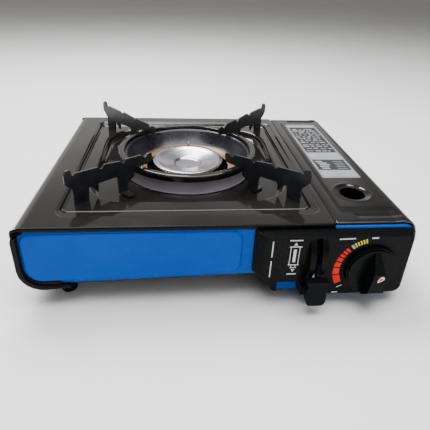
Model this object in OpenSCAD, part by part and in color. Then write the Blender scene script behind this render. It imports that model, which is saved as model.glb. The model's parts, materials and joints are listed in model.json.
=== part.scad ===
// Portable cassette gas stove: pressed-steel casing, burner with lift-off
// pan support and drip tray, cartridge bay with hinged lid, knob and lock lever.
// Origin: centre of the whole stove's footprint, at table level.

/* [Body] */
// Width of the casing
body_w = 343; // [341:1:346]
// Depth of the casing, without knob and lever
body_d = 280; // [280:1:284]
// Height of the top cover above the table
top_z = 80; // [80:1:82]
// Thickness of the pressed sheet steel
sheet = 1; // [0.8:0.1:1.1]
// Height of the underside at the left end
shallow_z = 21; // [20:1:22]
// How much that underside rises from the left end to the cartridge bay
floor_rise = 7; // [5:1:8]
// Height of the cartridge bay's underside
deep_z = 8; // [7:1:8]
// Width of the black frame round the blue front
frame_w = 4.5; // [4:0.5:6]

/* [Burner] */
// Burner centre, measured across from the middle of the casing
burner_x = -26.7; // [-28:0.1:-26]
// Burner centre, measured back from the front of the casing
burner_back = 144; // [143:1:146]
// Radius of the ring of flame ports
burner_r = 39; // [38:0.5:40]
// Number of flame ports
port_count = 60; // [40:1:72]

/* [Pan support and drip tray] */
// Inner radius of the support ring
ring_r = 69; // [68.5:0.5:69.5]
// Thickness of each sheet-steel leg
leg_t = 2; // [1.5:0.5:2.5]
// Half the width of the square moat in the drip tray
moat_half = 97; // [96:1:98]
// How far the moat lies below the top cover
moat_drop = 12; // [11:1:13]
// How far the tray plate lies below the top cover
tray_drop = 3; // [2.5:0.5:3.5]

/* [Cartridge bay] */
// Radius of the gas cartridge that the bay takes
cartridge_r = 34; // [33:0.5:34]
// Length of the gas cartridge
cartridge_l = 185; // [180:1:186]
// Place of the gap between top cover and lid, from the middle of the casing
gap_x = 96; // [95.5:0.5:96.5]
// Radius of the finger hole in the lid
finger_r = 12.2; // [11:0.1:13]

/* [Controls] */
// Place of the knob's axis, from the middle of the casing
knob_x = 129.5; // [129:0.5:130]
// Height of the knob's axis
knob_z = 40; // [39:0.5:41]
// Radius of the knob
knob_r = 23.8; // [22:0.1:24]
// How far the knob stands out from the front of the casing
control_reach = 27; // [26:0.5:28]
// Place of the lock lever, from the middle of the casing
lever_x = 79; // [78.5:0.5:79.5]
// Height of the lock lever's pivot
lever_z = 50; // [49:1:50]

/* [Hidden] */
$fn = 48;

black = [0.07, 0.07, 0.08];
steel = [0.72, 0.73, 0.75];
brass = [0.78, 0.62, 0.30];
plastic = [0.05, 0.05, 0.06];
rubber = [0.10, 0.10, 0.10];

half_w = body_w / 2;
front_y = -(body_d - control_reach) / 2;
back_y = front_y + body_d;
burner_y = front_y + burner_back;
fit_gap = 0.3;

pan_half = half_w - sheet - fit_gap;
pan_top = top_z - sheet - fit_gap;
pan_back = back_y - sheet - fit_gap;
frame_end = -pan_half + 33;
floor_deep = deep_z + sheet;
step_x = 38;
step_run = 8;
belly_edge = 50.5;
panel_set = 2.4;
flange_top = top_z - 8.4;

lip_h = 3.7;
skirt_h = 10;
recess_z = top_z - tray_drop - 1.1;
tray_z = top_z - tray_drop;
moat_z = top_z - moat_drop;
moat_r = 40;
moat_gap = 1.5;
hump_top = top_z + 8;
bowl_r = 46;
collar_r = 71;

hinge_x = pan_half - 1.6;
hinge_z = 38.5;
// Top of the casing's right wall, which reaches up inside the lid
side_top = hinge_z + 8;
hinge_pin_r = 1.5;
knuckle_r = 2.9;
hinge_ys = [front_y + 48, front_y + 228];
lid_front = front_y + 3.5;
lid_back = back_y;
lid_x = gap_x + 0.9;
finger_x = 131.5;
finger_y = front_y + 55.8;

panel_front = front_y - 11;
panel_back = front_y - 0.2;
panel_top = 75.5;
panel_low = 12.2;
panel_wall = 2.2;

lever_y = front_y + 22;
lever_arm_t = 3;
crank_r = 9.5;
crank_start = 115;
rib_r = 39.5;

cartridge_x = 133;
cartridge_z = 43;
socket_y = front_y + 44;
socket_l = 22;
nozzle_y = front_y + 66;
pusher_y = nozzle_y + cartridge_l + 1;
shield_x = 93.5;
shield_end = front_y + 246;
rail_x = 88;
rail_low = 62;
rail_top = 72;
pipe_z = 45;
pipe_cross = [shield_x + 0.5, front_y + 36];
pipe_angle = atan2(burner_y - pipe_cross[1], burner_x - pipe_cross[0]);
pipe_run = norm([burner_x, burner_y] - pipe_cross);

cam_y = front_y + 7;
cam_r = 5;
cam_rise = 3.5;
cam_turn = 130;
piezo_y = front_y + 9;

foot_left_x = -138;
foot_right_x = 148;
foot_front_y = front_y + 23;
foot_back_y = back_y - 23;

// Height of the shallow part's underside, and of the floor inside it, at x
function under(x) = shallow_z + floor_rise * (x + pan_half) / (step_x + pan_half);
function floor_at(x) = under(x) + sheet + 0.05;

// A polygon's points, where a corner [x, y, r] is rounded with radius r
function unit(v) = v / norm(v);
function flat(p) = [p[0], p[1]];
function turn(d) = d > 180 ? d - 360 : (d < -180 ? d + 360 : d);
function arc(c, r, a0, sweep, n) = [for (i = [0:n]) c + r * [cos(a0 + sweep * i / n), sin(a0 + sweep * i / n)]];
function corner(a, p, b, n) =
    let (
        u = unit(flat(a) - flat(p)),
        v = unit(flat(b) - flat(p)),
        half = acos(u * v) / 2,
        c = flat(p) + unit(u + v) * p[2] / sin(half),
        s = flat(p) + u * p[2] / tan(half) - c,
        e = flat(p) + v * p[2] / tan(half) - c,
        a0 = atan2(s[1], s[0])
    )
    arc(c, p[2], a0, turn(atan2(e[1], e[0]) - a0), n);
function rounded(pts, n = 8) =
    let (m = len(pts))
    [for (i = [0:m - 1])
        each (len(pts[i]) == 2 ? [pts[i]] : corner(pts[(i + m - 1) % m], pts[i], pts[(i + 1) % m], n))];
function box_points(x0, y0, x1, y1, r) = [[x0, y0, r], [x1, y0, r], [x1, y1, r], [x0, y1, r]];

// Extrusions of a front view along Y, a side view along X, and round bars
module along_y(y0, y1) {
    translate([0, y1, 0])
        rotate([90, 0, 0])
            linear_extrude(y1 - y0)
                children();
}
module along_x(x0, x1) {
    translate([x0, 0, 0])
        rotate([90, 0, 90])
            linear_extrude(x1 - x0)
                children();
}
module bar_y(x, z, r, y0, y1) {
    translate([x, y0, z])
        rotate([-90, 0, 0])
            cylinder(r = r, h = y1 - y0);
}
module bar_x(y, z, r, x0, x1) {
    translate([x0, y, z])
        rotate([0, 90, 0])
            cylinder(r = r, h = x1 - x0);
}
module box(x0, y0, z0, x1, y1, z1) {
    translate([x0, y0, z0])
        cube([x1 - x0, y1 - y0, z1 - z0]);
}
module slab(pts, z0, z1) {
    translate([0, 0, z0])
        linear_extrude(z1 - z0)
            polygon(pts);
}
// Something on the gas pipe's own axis, which runs from the regulator to the burner
module on_pipe(start) {
    translate([pipe_cross[0], pipe_cross[1], pipe_z])
        rotate([0, 0, pipe_angle])
            translate([start, 0, 0])
                rotate([0, 90, 0])
                    children();
}

// ---- Casing ----

// Front outline of the lower casing, inset by i and cut off at height cut
function casing(i, cut) = rounded([
    [-pan_half + i, cut, 6],
    [-pan_half + i, shallow_z + i, 18 - i],
    [step_x + i / 2, shallow_z + floor_rise + i, 5],
    [step_x + step_run + i / 2, deep_z + i, 6],
    [pan_half - i, deep_z + i, 12 - i],
    [pan_half - i, cut, 11]
]);

module floor_vents() {
    for (i = [-3:3])
        box(burner_x + i * 16 - 2, burner_y + 42, shallow_z - 1,
            burner_x + i * 16 + 2, burner_y + 72, shallow_z + floor_rise + 3);
}
module rear_vents() {
    for (i = [0:6])
        box(-130 + i * 16, pan_back - sheet - 1, 44, -126 + i * 16, pan_back + 1, 62);
}
module base_pan() color(black) {
    difference() {
        along_y(front_y, pan_back) polygon(casing(0, pan_top));
        along_y(front_y - 1, pan_back - sheet) polygon(casing(sheet, top_z + 20));
        box(-half_w, front_y - 1, flange_top, half_w, front_y + sheet + fit_gap, top_z);
        box(frame_end, front_y - 1, -1, step_x - 4, front_y + panel_set + 0.2, top_z);
        box(belly_edge, front_y - 1, -1, half_w, front_y + panel_set + 0.2, top_z);
        box(pan_half - sheet - 0.5, front_y - 1, side_top, half_w, pan_back - sheet, top_z);
        for (y = hinge_ys)
            box(pan_half - sheet - 0.5, y - 15, hinge_z - 3.5, half_w, y + 15, top_z);
        seam_notch();
        floor_vents();
        rear_vents();
        screw_holes();
    }
    frame_piece(frame_w, -half_w, frame_end, flange_top);
    frame_piece(2 * frame_w, step_x - 4, belly_edge, floor_deep + 16);
}
// Part of the flange that frames the front, from x0 to x1 and up to z1
module frame_piece(w, x0, x1, z1) {
    intersection() {
        difference() {
            along_y(front_y, front_y + sheet) polygon(casing(0, pan_top));
            along_y(front_y - 1, front_y + sheet + 1) polygon(casing(w, top_z + 20));
        }
        box(x0, front_y - 1, 0, x1, front_y + 2, z1);
    }
}

// Room in the front and back walls for the turned-down edges where the lid meets the top cover
module seam_notch() {
    box(gap_x - sheet - fit_gap, front_y - 1, top_z - 6.4, lid_x + sheet + fit_gap, back_y, top_z);
}
module front_panel() color([0.06, 0.34, 0.68]) {
    difference() {
        union() {
            intersection() {
                along_y(front_y + 1.3, front_y + panel_set) polygon(casing(1.4, pan_top));
                box(-half_w, front_y, 0, frame_end + 1, front_y + 5, top_z);
            }
            intersection() {
                along_y(front_y + 1.3, front_y + panel_set) polygon(casing(0, pan_top));
                box(frame_end + 0.3, front_y, 0, half_w, front_y + 5, top_z);
            }
            along_y(front_y + 0.3, front_y + 1.5)
                polygon(rounded([
                    [-pan_half + 9, under(-pan_half) + 7, 10],
                    [17, under(17) + 7, 10],
                    [17, top_z - 5, 10],
                    [-pan_half + 9, top_z - 5, 10]
                ]));
            intersection() {
                difference() {
                    along_y(front_y + 0.3, front_y + 12) polygon(casing(0.1, pan_top));
                    along_y(front_y - 1, front_y + 13) polygon(casing(1.2, pan_top - 1.1));
                }
                box(lid_x + sheet + fit_gap, front_y, top_z - 14, half_w, front_y + 13, top_z);
            }
        }
        seam_notch();
        bar_y(knob_x, knob_z, 7, front_y, front_y + 5);
        box(lever_x - 6, front_y, 15, lever_x + 6, front_y + 5, 74);
        box(step_x - 4.3, front_y, 0, belly_edge + 0.3, front_y + 5, shallow_z + floor_rise + sheet + 1);
    }
}

module cover_outline(i) {
    polygon(rounded([
        [-half_w + i, top_z - skirt_h - (i > 0 ? 5 : 0)],
        [-half_w + i, top_z - i, 7 - i],
        [gap_x - i, top_z - i],
        [gap_x - i, top_z - 6 - (i > 0 ? 5 : 0)]
    ]));
}
recess_pts = rounded(box_points(-139.6, front_y + 17.5, 89, front_y + 261, 12));
recess_wall_pts = rounded(box_points(-140.6, front_y + 16.5, 90, front_y + 262, 13));
module burner_opening(grow, r, z0, z1) {
    slab(rounded(box_points(burner_x - moat_half - grow, burner_y - moat_half - grow,
        burner_x + moat_half + grow, burner_y + moat_half + grow, r)), z0, z1);
}
module top_cover() color(black) {
    difference() {
        union() {
            difference() {
                along_y(front_y, back_y) cover_outline(0);
                along_y(front_y + sheet, back_y - sheet) cover_outline(sheet);
                box(-half_w + 7, front_y - 1, 0, gap_x + 1, front_y + sheet, top_z - lip_h);
                box(-half_w - 1, front_y - 1, 0, -half_w + 8, front_y + panel_set + 0.2, top_z - lip_h - 4);
            }
            slab(recess_wall_pts, recess_z - sheet, top_z);
        }
        slab(recess_pts, recess_z, top_z + 1);
        burner_opening(moat_gap, moat_r + moat_gap, recess_z - 5, top_z);
    }
}

module heat_shield() color(steel) {
    difference() {
        union() {
            box(shield_x, front_y + 5, floor_deep, shield_x + 1, shield_end, pan_top - 0.5);
            box(shield_x - 8, front_y + 70, floor_deep, shield_x, front_y + 84, floor_deep + 1);
            box(shield_x - 8, front_y + 200, floor_deep, shield_x, front_y + 214, floor_deep + 1);
            for (y = [front_y + 90, front_y + 210]) {
                box(rail_x - 1.8, y, rail_low - 1.3, shield_x, y + 8, rail_low - fit_gap);
                box(rail_x - 1.8, y, rail_low - 1.3, rail_x - fit_gap, y + 8, rail_low + 3);
            }
        }
        on_pipe(-4) cylinder(r = 5.2, h = 8);
        screw_holes();
    }
}

// Aluminium strip that carries a little burner heat to the cartridge side
plate_z = floor_at(step_x) + 0.6;
module heat_plate() color([0.8, 0.81, 0.82]) {
    box(burner_x - 14, burner_y - 10, plate_z, step_x + 40, burner_y + 10, plate_z + 1.2);
    box(burner_x - 14, burner_y - 10, plate_z + 1.2, burner_x - 12.8, burner_y + 10, 34.3);
    box(step_x + 38.8, burner_y - 10, floor_deep + 1.2, step_x + 40, burner_y + 10, plate_z);
    box(step_x + 38.8, burner_y - 10, floor_deep + 0.05, shield_x, burner_y + 10, floor_deep + 1.25);
}

// Height just under the cartridge, at a distance d beside its axis
function under_cartridge(d) = cartridge_z - sqrt(pow(cartridge_r, 2) - d * d) - 0.8;
module cradle_rail(side) {
    inner = 20;
    outer = 24.5;
    along_y(front_y + 76, front_y + 240)
        polygon([
            [cartridge_x + side * outer, floor_deep],
            [cartridge_x + side * outer, under_cartridge(outer)],
            [cartridge_x + side * (outer - 1.2), under_cartridge(outer - 1.2)],
            [cartridge_x + side * inner, under_cartridge(inner)],
            [cartridge_x + side * inner, floor_deep]
        ]);
}
module cartridge_cradle() color(steel) {
    box(cartridge_x - 25, front_y + 70, floor_deep, cartridge_x + 25, front_y + 245, floor_deep + 1);
    cradle_rail(-1);
    cradle_rail(1);
}

module foot(x, y, height) color(rubber) {
    translate([x, y, 0])
        difference() {
            rotate_extrude()
                polygon(rounded([[0, 0], [7, 0, 1], [8, height], [0, height]], 4));
            translate([0, 0, -1])
                cylinder(r = 2.6, h = 4);
        }
}
module foot_front_left() foot(foot_left_x, foot_front_y, under(foot_left_x - 8));
module foot_front_right() foot(foot_right_x, foot_front_y, deep_z);
module foot_back_left() foot(foot_left_x, foot_back_y, under(foot_left_x - 8));
module foot_back_right() foot(foot_right_x, foot_back_y, deep_z);

module base_screw(x, y, z) {
    translate([x, y, z - 1.6])
        cylinder(r = 3.4, h = 1.4);
    translate([x, y, z - 0.3])
        cylinder(r = 1.4, h = sheet + 1.6);
}
// Holes in the floor for the screws' shanks
module screw_holes() {
    for (side = [-1, 1])
        translate([burner_x + side * 33, burner_y, shallow_z - 1])
            cylinder(r = 1.5, h = 12);
    for (y = [front_y + 77, front_y + 207])
        translate([shield_x - 4, y, deep_z - 1])
            cylinder(r = 1.5, h = 12);
}
module base_screws() color(steel) {
    for (side = [-1, 1])
        base_screw(burner_x + side * 33, burner_y, under(burner_x + side * 33 - 3.4));
    for (y = [front_y + 77, front_y + 207])
        base_screw(shield_x - 4, y, deep_z);
}

// ---- Lid ----

function lid_outline(i) = rounded([
    [lid_x + i, top_z - 4 - i * 4],
    [lid_x + i, top_z - i],
    [half_w - i, top_z - i, 12 - i],
    [half_w - i, hinge_z + 3 - i * 4]
]);
module lid_knuckles(y) {
    for (dy = [-13, 6.6])
        difference() {
            union() {
                bar_y(hinge_x, hinge_z, knuckle_r, y + dy, y + dy + 6.4);
                box(half_w - sheet, y + dy, hinge_z, half_w, y + dy + 6.4, hinge_z + 5);
            }
            bar_y(hinge_x, hinge_z, hinge_pin_r + 0.05, y + dy - 1, y + dy + 8);
        }
}
module lid() color(black) {
    difference() {
        union() {
            difference() {
                along_y(lid_front, lid_back) polygon(lid_outline(0));
                along_y(lid_front - 1, lid_back + 1) polygon(lid_outline(sheet));
            }
            difference() {
                along_y(lid_back - sheet, lid_back) polygon(lid_outline(0));
                along_y(lid_front - 1, lid_back + 1) polygon(lid_outline(4));
            }
            translate([finger_x, finger_y, top_z - 2.6])
                cylinder(r = finger_r + 1.2, h = 2.6);
            translate([finger_x, finger_y, top_z - 0.2])
                rotate_extrude()
                    polygon([[finger_r, 0], [17.8, 0], [17, 0.9], [finger_r + 3, 0.9], [finger_r, 0.2]]);
        }
        translate([finger_x, finger_y, top_z - 5])
            cylinder(r = finger_r, h = 10);
    }
    for (y = hinge_ys)
        lid_knuckles(y);
}
module lid_label() color([0.8, 0.8, 0.8]) {
    slab(rounded(box_points(112, front_y + 87, 153.7, front_y + 254.5, 2)), top_z, top_z + 0.2);
}
module lid_hinge_leaves() color(steel) {
    for (y = hinge_ys)
        difference() {
            union() {
                bar_y(hinge_x, hinge_z, knuckle_r - 0.2, y - 6.2, y + 6.2);
                box(hinge_x - 1.4, y - 6.2, 20, pan_half - sheet, y + 6.2, hinge_z);
            }
            bar_y(hinge_x, hinge_z, hinge_pin_r, y - 8, y + 8);
        }
}
module lid_hinge_pins() color(steel) {
    for (y = hinge_ys)
        bar_y(hinge_x, hinge_z, hinge_pin_r, y - 14, y + 14);
}

// ---- Drip tray and pan support ----

tray_pts = rounded(box_points(-138, front_y + 28.5, 81, front_y + 253, 5));
module drip_tray() color(black) {
    difference() {
        union() {
            slab(tray_pts, tray_z - 1, tray_z);
            difference() {
                slab(tray_pts, tray_z - 1, tray_z + 0.8);
                slab(rounded(box_points(-136.6, front_y + 29.9, 79.6, front_y + 251.6, 4)), tray_z - 2, top_z);
            }
            burner_opening(0, moat_r, moat_z, tray_z);
        }
        burner_opening(-1, moat_r - 1, moat_z + 1, top_z);
        translate([burner_x, burner_y, moat_z - 1])
            cylinder(r = collar_r - 0.5, h = 10);
    }
    translate([burner_x, burner_y, 0])
        rotate_extrude($fn = 96)
            polygon(rounded([
                [collar_r, moat_z],
                [collar_r, hump_top, 1.2],
                [ring_r - 2, hump_top, 2],
                [bowl_r + 6, moat_z + 2, 4],
                [bowl_r, moat_z + 2],
                [bowl_r, moat_z + 1],
                [bowl_r + 6.5, moat_z + 1, 4],
                [ring_r - 1.6, hump_top - 1, 1],
                [collar_r - 1, hump_top - 1, 0.4],
                [collar_r - 1, moat_z]
            ], 4));
}

ring_low = hump_top + 0.3;
ring_top = top_z + 11.5;
module support_ring() color(black) {
    translate([burner_x, burner_y, 0])
        rotate_extrude($fn = 96)
            polygon(rounded([
                [ring_r, ring_low, 0.8],
                [73.2, ring_low, 0.5],
                [73.2, ring_low - 4],
                [74.4, ring_low - 4],
                [75.6, ring_low + 0.4, 1.2],
                [75.6, ring_top, 1.5],
                [ring_r, ring_top, 1.2]
            ], 4));
}

// Leg outline: distance from the burner's centre, and height above the top cover
leg_points = rounded([
    [60, 10.4, 3],
    [54.2, 11.6, 2.5],
    [53.8, 20.8, 2.2],
    [58.6, 20.8, 2],
    [62.6, 17.6, 1.5],
    [67, 21.8, 2],
    [86.4, 23.3, 0.8],
    [89.2, 19.6, 0.8],
    [92.8, 23.1, 0.8],
    [110.6, 25.7, 0.8],
    [114.2, 22.2, 0.8],
    [117.8, 25.2, 0.8],
    [140.8, 27, 1],
    [143.6, 25.2, 1],
    [145.4, 31.6, 1],
    [149.6, 31.6, 2],
    [151.8, 27.6, 1.5],
    [151.6, 19.6, 2],
    [146.2, 13.6, 1],
    [144.2, 12, 0.8],
    [144.2, -tray_drop + 0.1, 0.3],
    [130.2, -tray_drop + 0.1, 0.3],
    [129, 9.4, 1],
    [126.6, 9, 0.8],
    [119.8, 0.6, 0.2],
    [119, 9.6, 1.2],
    [98.8, 8.6, 1],
    [97, 5, 1],
    [96.2, -moat_drop + 1.1, 0.3],
    [88, -moat_drop + 1.1, 0.3],
    [85.6, -3, 3],
    [77, 3.4, 1.5],
    [76.6, 11.5],
    [68.6, 11.5],
    [68.6, 10.4]
], 3);
module leg(a) color(black) {
    translate([burner_x, burner_y, top_z])
        rotate([0, 0, a]) {
            translate([0, leg_t / 2, 0])
                rotate([90, 0, 0])
                    linear_extrude(leg_t)
                        polygon(leg_points);
            box(88, leg_t / 2 - 0.4, -moat_drop + 1.1, 94.5, 13, -moat_drop + 2.3);
            box(70, leg_t / 2 - 0.4, 11.5, 75, 10, 12.7);
        }
}
module leg_front_left() leg(225);
module leg_front_right() leg(315);
module leg_back_left() leg(135);
module leg_back_right() leg(45);
module leg_rivets() color(steel) {
    for (a = [45:90:315])
        translate([burner_x, burner_y, ring_top + 1.2])
            rotate([0, 0, a])
                translate([72.3, 6, 0])
                    cylinder(r1 = 2.1, r2 = 1.4, h = 1.2, $fn = 24);
}

// ---- Burner ----

module burner_head() color([0.6, 0.6, 0.62]) {
    translate([burner_x, burner_y, 0])
        rotate_extrude()
            polygon([
                [11.1, 54.5], [14, 54.5], [14, 57], [30, 62], [36.5, 68], [36.5, 72],
                [35.3, 72], [35.3, 68.6], [29.4, 63.2], [13, 58.4], [11.1, 58.4]
            ]);
}
module burner_port_ring() color(steel) {
    translate([burner_x, burner_y, 72])
        difference() {
            cylinder(r = burner_r - 1, h = 4.4);
            translate([0, 0, -1])
                cylinder(r = burner_r - 4, h = 7);
            for (i = [0:port_count - 1])
                rotate([0, 0, i * 360 / port_count])
                    translate([burner_r - 5, -0.6, 1.2])
                        cube([6, 1.2, 4]);
        }
}
module burner_cap() color([0.8, 0.8, 0.82]) {
    translate([burner_x, burner_y, 0])
        rotate_extrude()
            polygon([
                [0, 69.4], [12.5, 69.4], [14, 71.2], [32, 75], [34.8, 76.4], [burner_r, 76.4],
                [burner_r, 77.4], [34.4, 77.4], [31.6, 76], [13.4, 72.2], [12, 70.4], [0, 70.4]
            ]);
}
module stand_leg(side, z) {
    box(side * 25.4 - 0.6, -13, z, side * 25.4 + 0.6, 13, 35.6);
    box(side * 33 - 8, -13, z, side * 33 + 8, 13, z + 1.2);
}
module burner_stand() color(steel) {
    translate([burner_x, burner_y, 0])
        difference() {
            union() {
                box(-26, -13, 34.4, 26, 13, 35.6);
                for (side = [-1, 1])
                    stand_leg(side, floor_at(burner_x + side * 33 + 8));
            }
            for (side = [-1, 1])
                translate([side * 33, 0, shallow_z])
                    cylinder(r = 1.6, h = 12);
            box(24, -10.3, plate_z - fit_gap, 27, 10.3, plate_z + 1.5);
        }
}
tube_start = 14;
module mixing_tube() color(steel) {
    difference() {
        union() {
            on_pipe(tube_start) cylinder(r = 9, h = pipe_run - tube_start);
            translate([burner_x, burner_y, 35.6])
                cylinder(r = 11, h = 22);
        }
        on_pipe(tube_start - 1) cylinder(r = 8, h = pipe_run - tube_start + 1);
        translate([burner_x, burner_y, 36.8])
            cylinder(r = 9.8, h = 22);
        for (a = [45, 135, 225, 315])
            on_pipe(tube_start + 8)
                rotate([0, 0, a])
                    translate([0, -3, -5])
                        cube([12, 6, 10]);
    }
}
module air_shutter() color(brass) {
    difference() {
        on_pipe(tube_start + 1) cylinder(r = 10, h = 15);
        on_pipe(tube_start) cylinder(r = 9.05, h = 17);
        for (a = [55, 145, 235, 325])
            on_pipe(tube_start + 8)
                rotate([0, 0, a])
                    translate([0, -2.5, -4])
                        cube([12, 5, 8]);
    }
}
module jet_nozzle() color(brass) {
    on_pipe(-7)
        difference() {
            union() {
                cylinder(r = 3, h = 14);
                translate([0, 0, 14])
                    cylinder(r1 = 3, r2 = 1.6, h = 3);
            }
            translate([0, 0, -1])
                cylinder(r = 1, h = 12);
            cylinder(r = 0.3, h = 20);
        }
}
module gas_pipe() color(brass) {
    on_pipe(-25)
        difference() {
            cylinder(r = 2.6, h = 18);
            translate([0, 0, -1])
                cylinder(r = 1.4, h = 20);
        }
}
module pipe_nuts() color(brass) {
    for (start = [-16.2, -11.8])
        on_pipe(start)
            difference() {
                cylinder(r = 5, h = 4, $fn = 6);
                translate([0, 0, -1])
                    cylinder(r = 2.6, h = 6);
            }
}

// ---- Regulator and cartridge connection ----

dome_y = front_y + 31;
dome_z = 60.5;
module regulator_body() color([0.62, 0.63, 0.65]) {
    difference() {
        union() {
            bar_y(cartridge_x, cartridge_z, 17, front_y + 18, socket_y);
            box(110, front_y + 16, 34, cartridge_x, front_y + 30, 55);
            translate([cartridge_x, dome_y, 52])
                cylinder(r = 12, h = dome_z - 50);
            translate([cartridge_x, dome_y, dome_z])
                cylinder(r = 20.5, h = 3);
        }
        bar_y(knob_x, knob_z, 3.05, front_y + 10, front_y + 29);
        translate([cartridge_x, dome_y, dome_z + 2])
            cylinder(r = 15, h = 3);
        on_pipe(-26) cylinder(r = 2.65, h = 10);
        bar_y(cartridge_x, cartridge_z, 2, socket_y - 12, socket_y + 1);
    }
}
module regulator_diaphragm() color([0.2, 0.1, 0.08]) {
    translate([cartridge_x, dome_y, dome_z + 3])
        cylinder(r = 19.5, h = 0.8);
}
module regulator_cover() color(steel) {
    translate([cartridge_x, dome_y, dome_z + 3.8])
        difference() {
            union() {
                cylinder(r = 20.5, h = 1.4);
                cylinder(r = 12, h = 12);
            }
            translate([0, 0, -1])
                cylinder(r = 10.8, h = 11.8);
            for (a = [45:90:315])
                rotate([0, 0, a])
                    translate([16.5, 0, -1])
                        cylinder(r = 1.6, h = 4);
        }
}
module regulator_spring() color(steel) {
    turns = 4;
    steps = 10;
    translate([cartridge_x, dome_y, dome_z + 4.8])
        for (i = [0:turns * steps - 1])
            rotate([0, 0, i * 360 / steps])
                translate([6, 0, i * 8.4 / (turns * steps)])
                    rotate([-80, 0, 0])
                        cylinder(r = 0.6, h = 4.2, center = true, $fn = 16);
}
module regulator_screws() color(steel) {
    for (a = [45:90:315])
        translate([cartridge_x, dome_y, 0])
            rotate([0, 0, a])
                translate([16.5, 0, dome_z + 5.2])
                    cylinder(r = 2.4, h = 1.4);
}
module cartridge_socket() color(steel) {
    difference() {
        bar_y(cartridge_x, cartridge_z, 17, socket_y, socket_y + socket_l);
        bar_y(cartridge_x, cartridge_z, 15, socket_y + 1.5, socket_y + socket_l + 1);
        bar_y(cartridge_x, cartridge_z, 3.2, socket_y - 1, socket_y + 3);
        box(cartridge_x - 2.5, socket_y + 10, cartridge_z + 10,
            cartridge_x + 2.5, socket_y + socket_l + 1, cartridge_z + 20);
    }
}
module socket_seal() color(rubber) {
    difference() {
        bar_y(cartridge_x, cartridge_z, 7, socket_y + 1.5, socket_y + 4);
        bar_y(cartridge_x, cartridge_z, 3.2, socket_y, socket_y + 5);
    }
}

// ---- Knob and ignition ----

module valve_spindle() color(brass) {
    bar_y(knob_x, knob_z, 3, panel_front - 8, front_y + 28);
}
// The cam's radius grows evenly with turning, so the plunger moves in step with the knob
function cam_radius(a) = cam_r + cam_rise * a * PI / 180;
cam_points = concat(
    [for (a = [0:5:cam_turn + 10]) cam_radius(a) * [cos(-a), sin(-a)]],
    [for (a = [cam_turn + 20:15:350]) 4.6 * [cos(-a), sin(-a)]]
);
module igniter_cam() color([0.85, 0.85, 0.8]) {
    difference() {
        translate([knob_x, 0, knob_z])
            along_y(cam_y, cam_y + 4) polygon(cam_points);
        bar_y(knob_x, knob_z, 3, cam_y - 1, cam_y + 5);
    }
}
// The cam's slope needs this much room under the plunger's round tip
plunger_gap = 0.8;
module piezo_plunger() color([0.85, 0.85, 0.8]) {
    tip = knob_x + cam_r + plunger_gap;
    bar_x(piezo_y, knob_z, 1.6, tip + 0.6, tip + 3);
    bar_x(piezo_y, knob_z, 0.8, tip, tip + 1);
    bar_x(piezo_y, knob_z, 2.5, tip + 3, tip + 14);
}
module piezo_igniter() color([0.9, 0.9, 0.86]) {
    difference() {
        bar_x(piezo_y, knob_z, 5.4, knob_x + cam_r + 12, 167.5);
        bar_x(piezo_y, knob_z, 2.8, knob_x + cam_r + 11, 161);
    }
}

knob_back = panel_front - 0.4;
knob_face = front_y - control_reach;
module knob() color(plastic) {
    difference() {
        union() {
            translate([knob_x, knob_back, knob_z])
                rotate([90, 0, 0])
                    cylinder(r = knob_r, h = 3.4, $fn = 96);
            translate([knob_x, knob_back - 3.4, knob_z])
                rotate([90, 0, 0])
                    cylinder(r = knob_r - 1.5, h = 1.4, $fn = 96);
            intersection() {
                along_x(knob_x - 9, knob_x + 9)
                    polygon(rounded([
                        [knob_back - 2, knob_z + 21.5],
                        [knob_back - 4.6, knob_z + 21.5, 1],
                        [knob_face, knob_z + 6, 2],
                        [knob_face, knob_z - 14, 3],
                        [knob_back - 6, knob_z - 22.8, 1.5],
                        [knob_back - 2, knob_z - 22.8]
                    ], 4));
                along_y(knob_face - 1, knob_back)
                    polygon(rounded([
                        [knob_x - 2.4, knob_z + 21.8, 1],
                        [knob_x - 8.4, knob_z - 23, 2],
                        [knob_x + 8.4, knob_z - 23, 2],
                        [knob_x + 2.4, knob_z + 21.8, 1]
                    ], 4));
            }
        }
        bar_y(knob_x, knob_z, 3.05, panel_front - 8.05, panel_front + 1);
    }
}

// A thin lead swept along a smooth curve through a list of points
function spline(p, i, t) =
    let (a = p[max(i - 1, 0)], b = p[i], c = p[i + 1], d = p[min(i + 2, len(p) - 1)])
    b + (c - a) * t / 2 + (2 * a - 5 * b + 4 * c - d) * t * t / 2 + (3 * b - a - 3 * c + d) * t * t * t / 2;
function smooth(p, steps) = concat(
    [for (i = [0:len(p) - 2], k = [0:steps - 1]) spline(p, i, k / steps)],
    [p[len(p) - 1]]
);
function ring(c, along, r, sides) =
    let (u = unit(cross(along, [0.35, 0.2, 1])), v = unit(cross(along, u)))
    [for (k = [0:sides - 1]) c + r * (cos(k * 360 / sides) * u + sin(k * 360 / sides) * v)];
module lead(points, r, sides = 8) {
    path = smooth(points, 5);
    last = len(path) - 1;
    rings = [for (i = [0:last])
        each ring(path[i], unit(path[min(i + 1, last)] - path[max(i - 1, 0)]), r, sides)];
    walls = [for (i = [0:last - 1], k = [0:sides - 1])
        [i * sides + k, (i + 1) * sides + k, (i + 1) * sides + (k + 1) % sides, i * sides + (k + 1) % sides]];
    ends = [[for (k = [0:sides - 1]) k], [for (k = [sides - 1:-1:0]) last * sides + k]];
    polyhedron(points = rings, faces = concat(walls, ends), convexity = 10);
}
electrode_x = burner_x + 2;
electrode_y = burner_y + 42.6;
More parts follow.
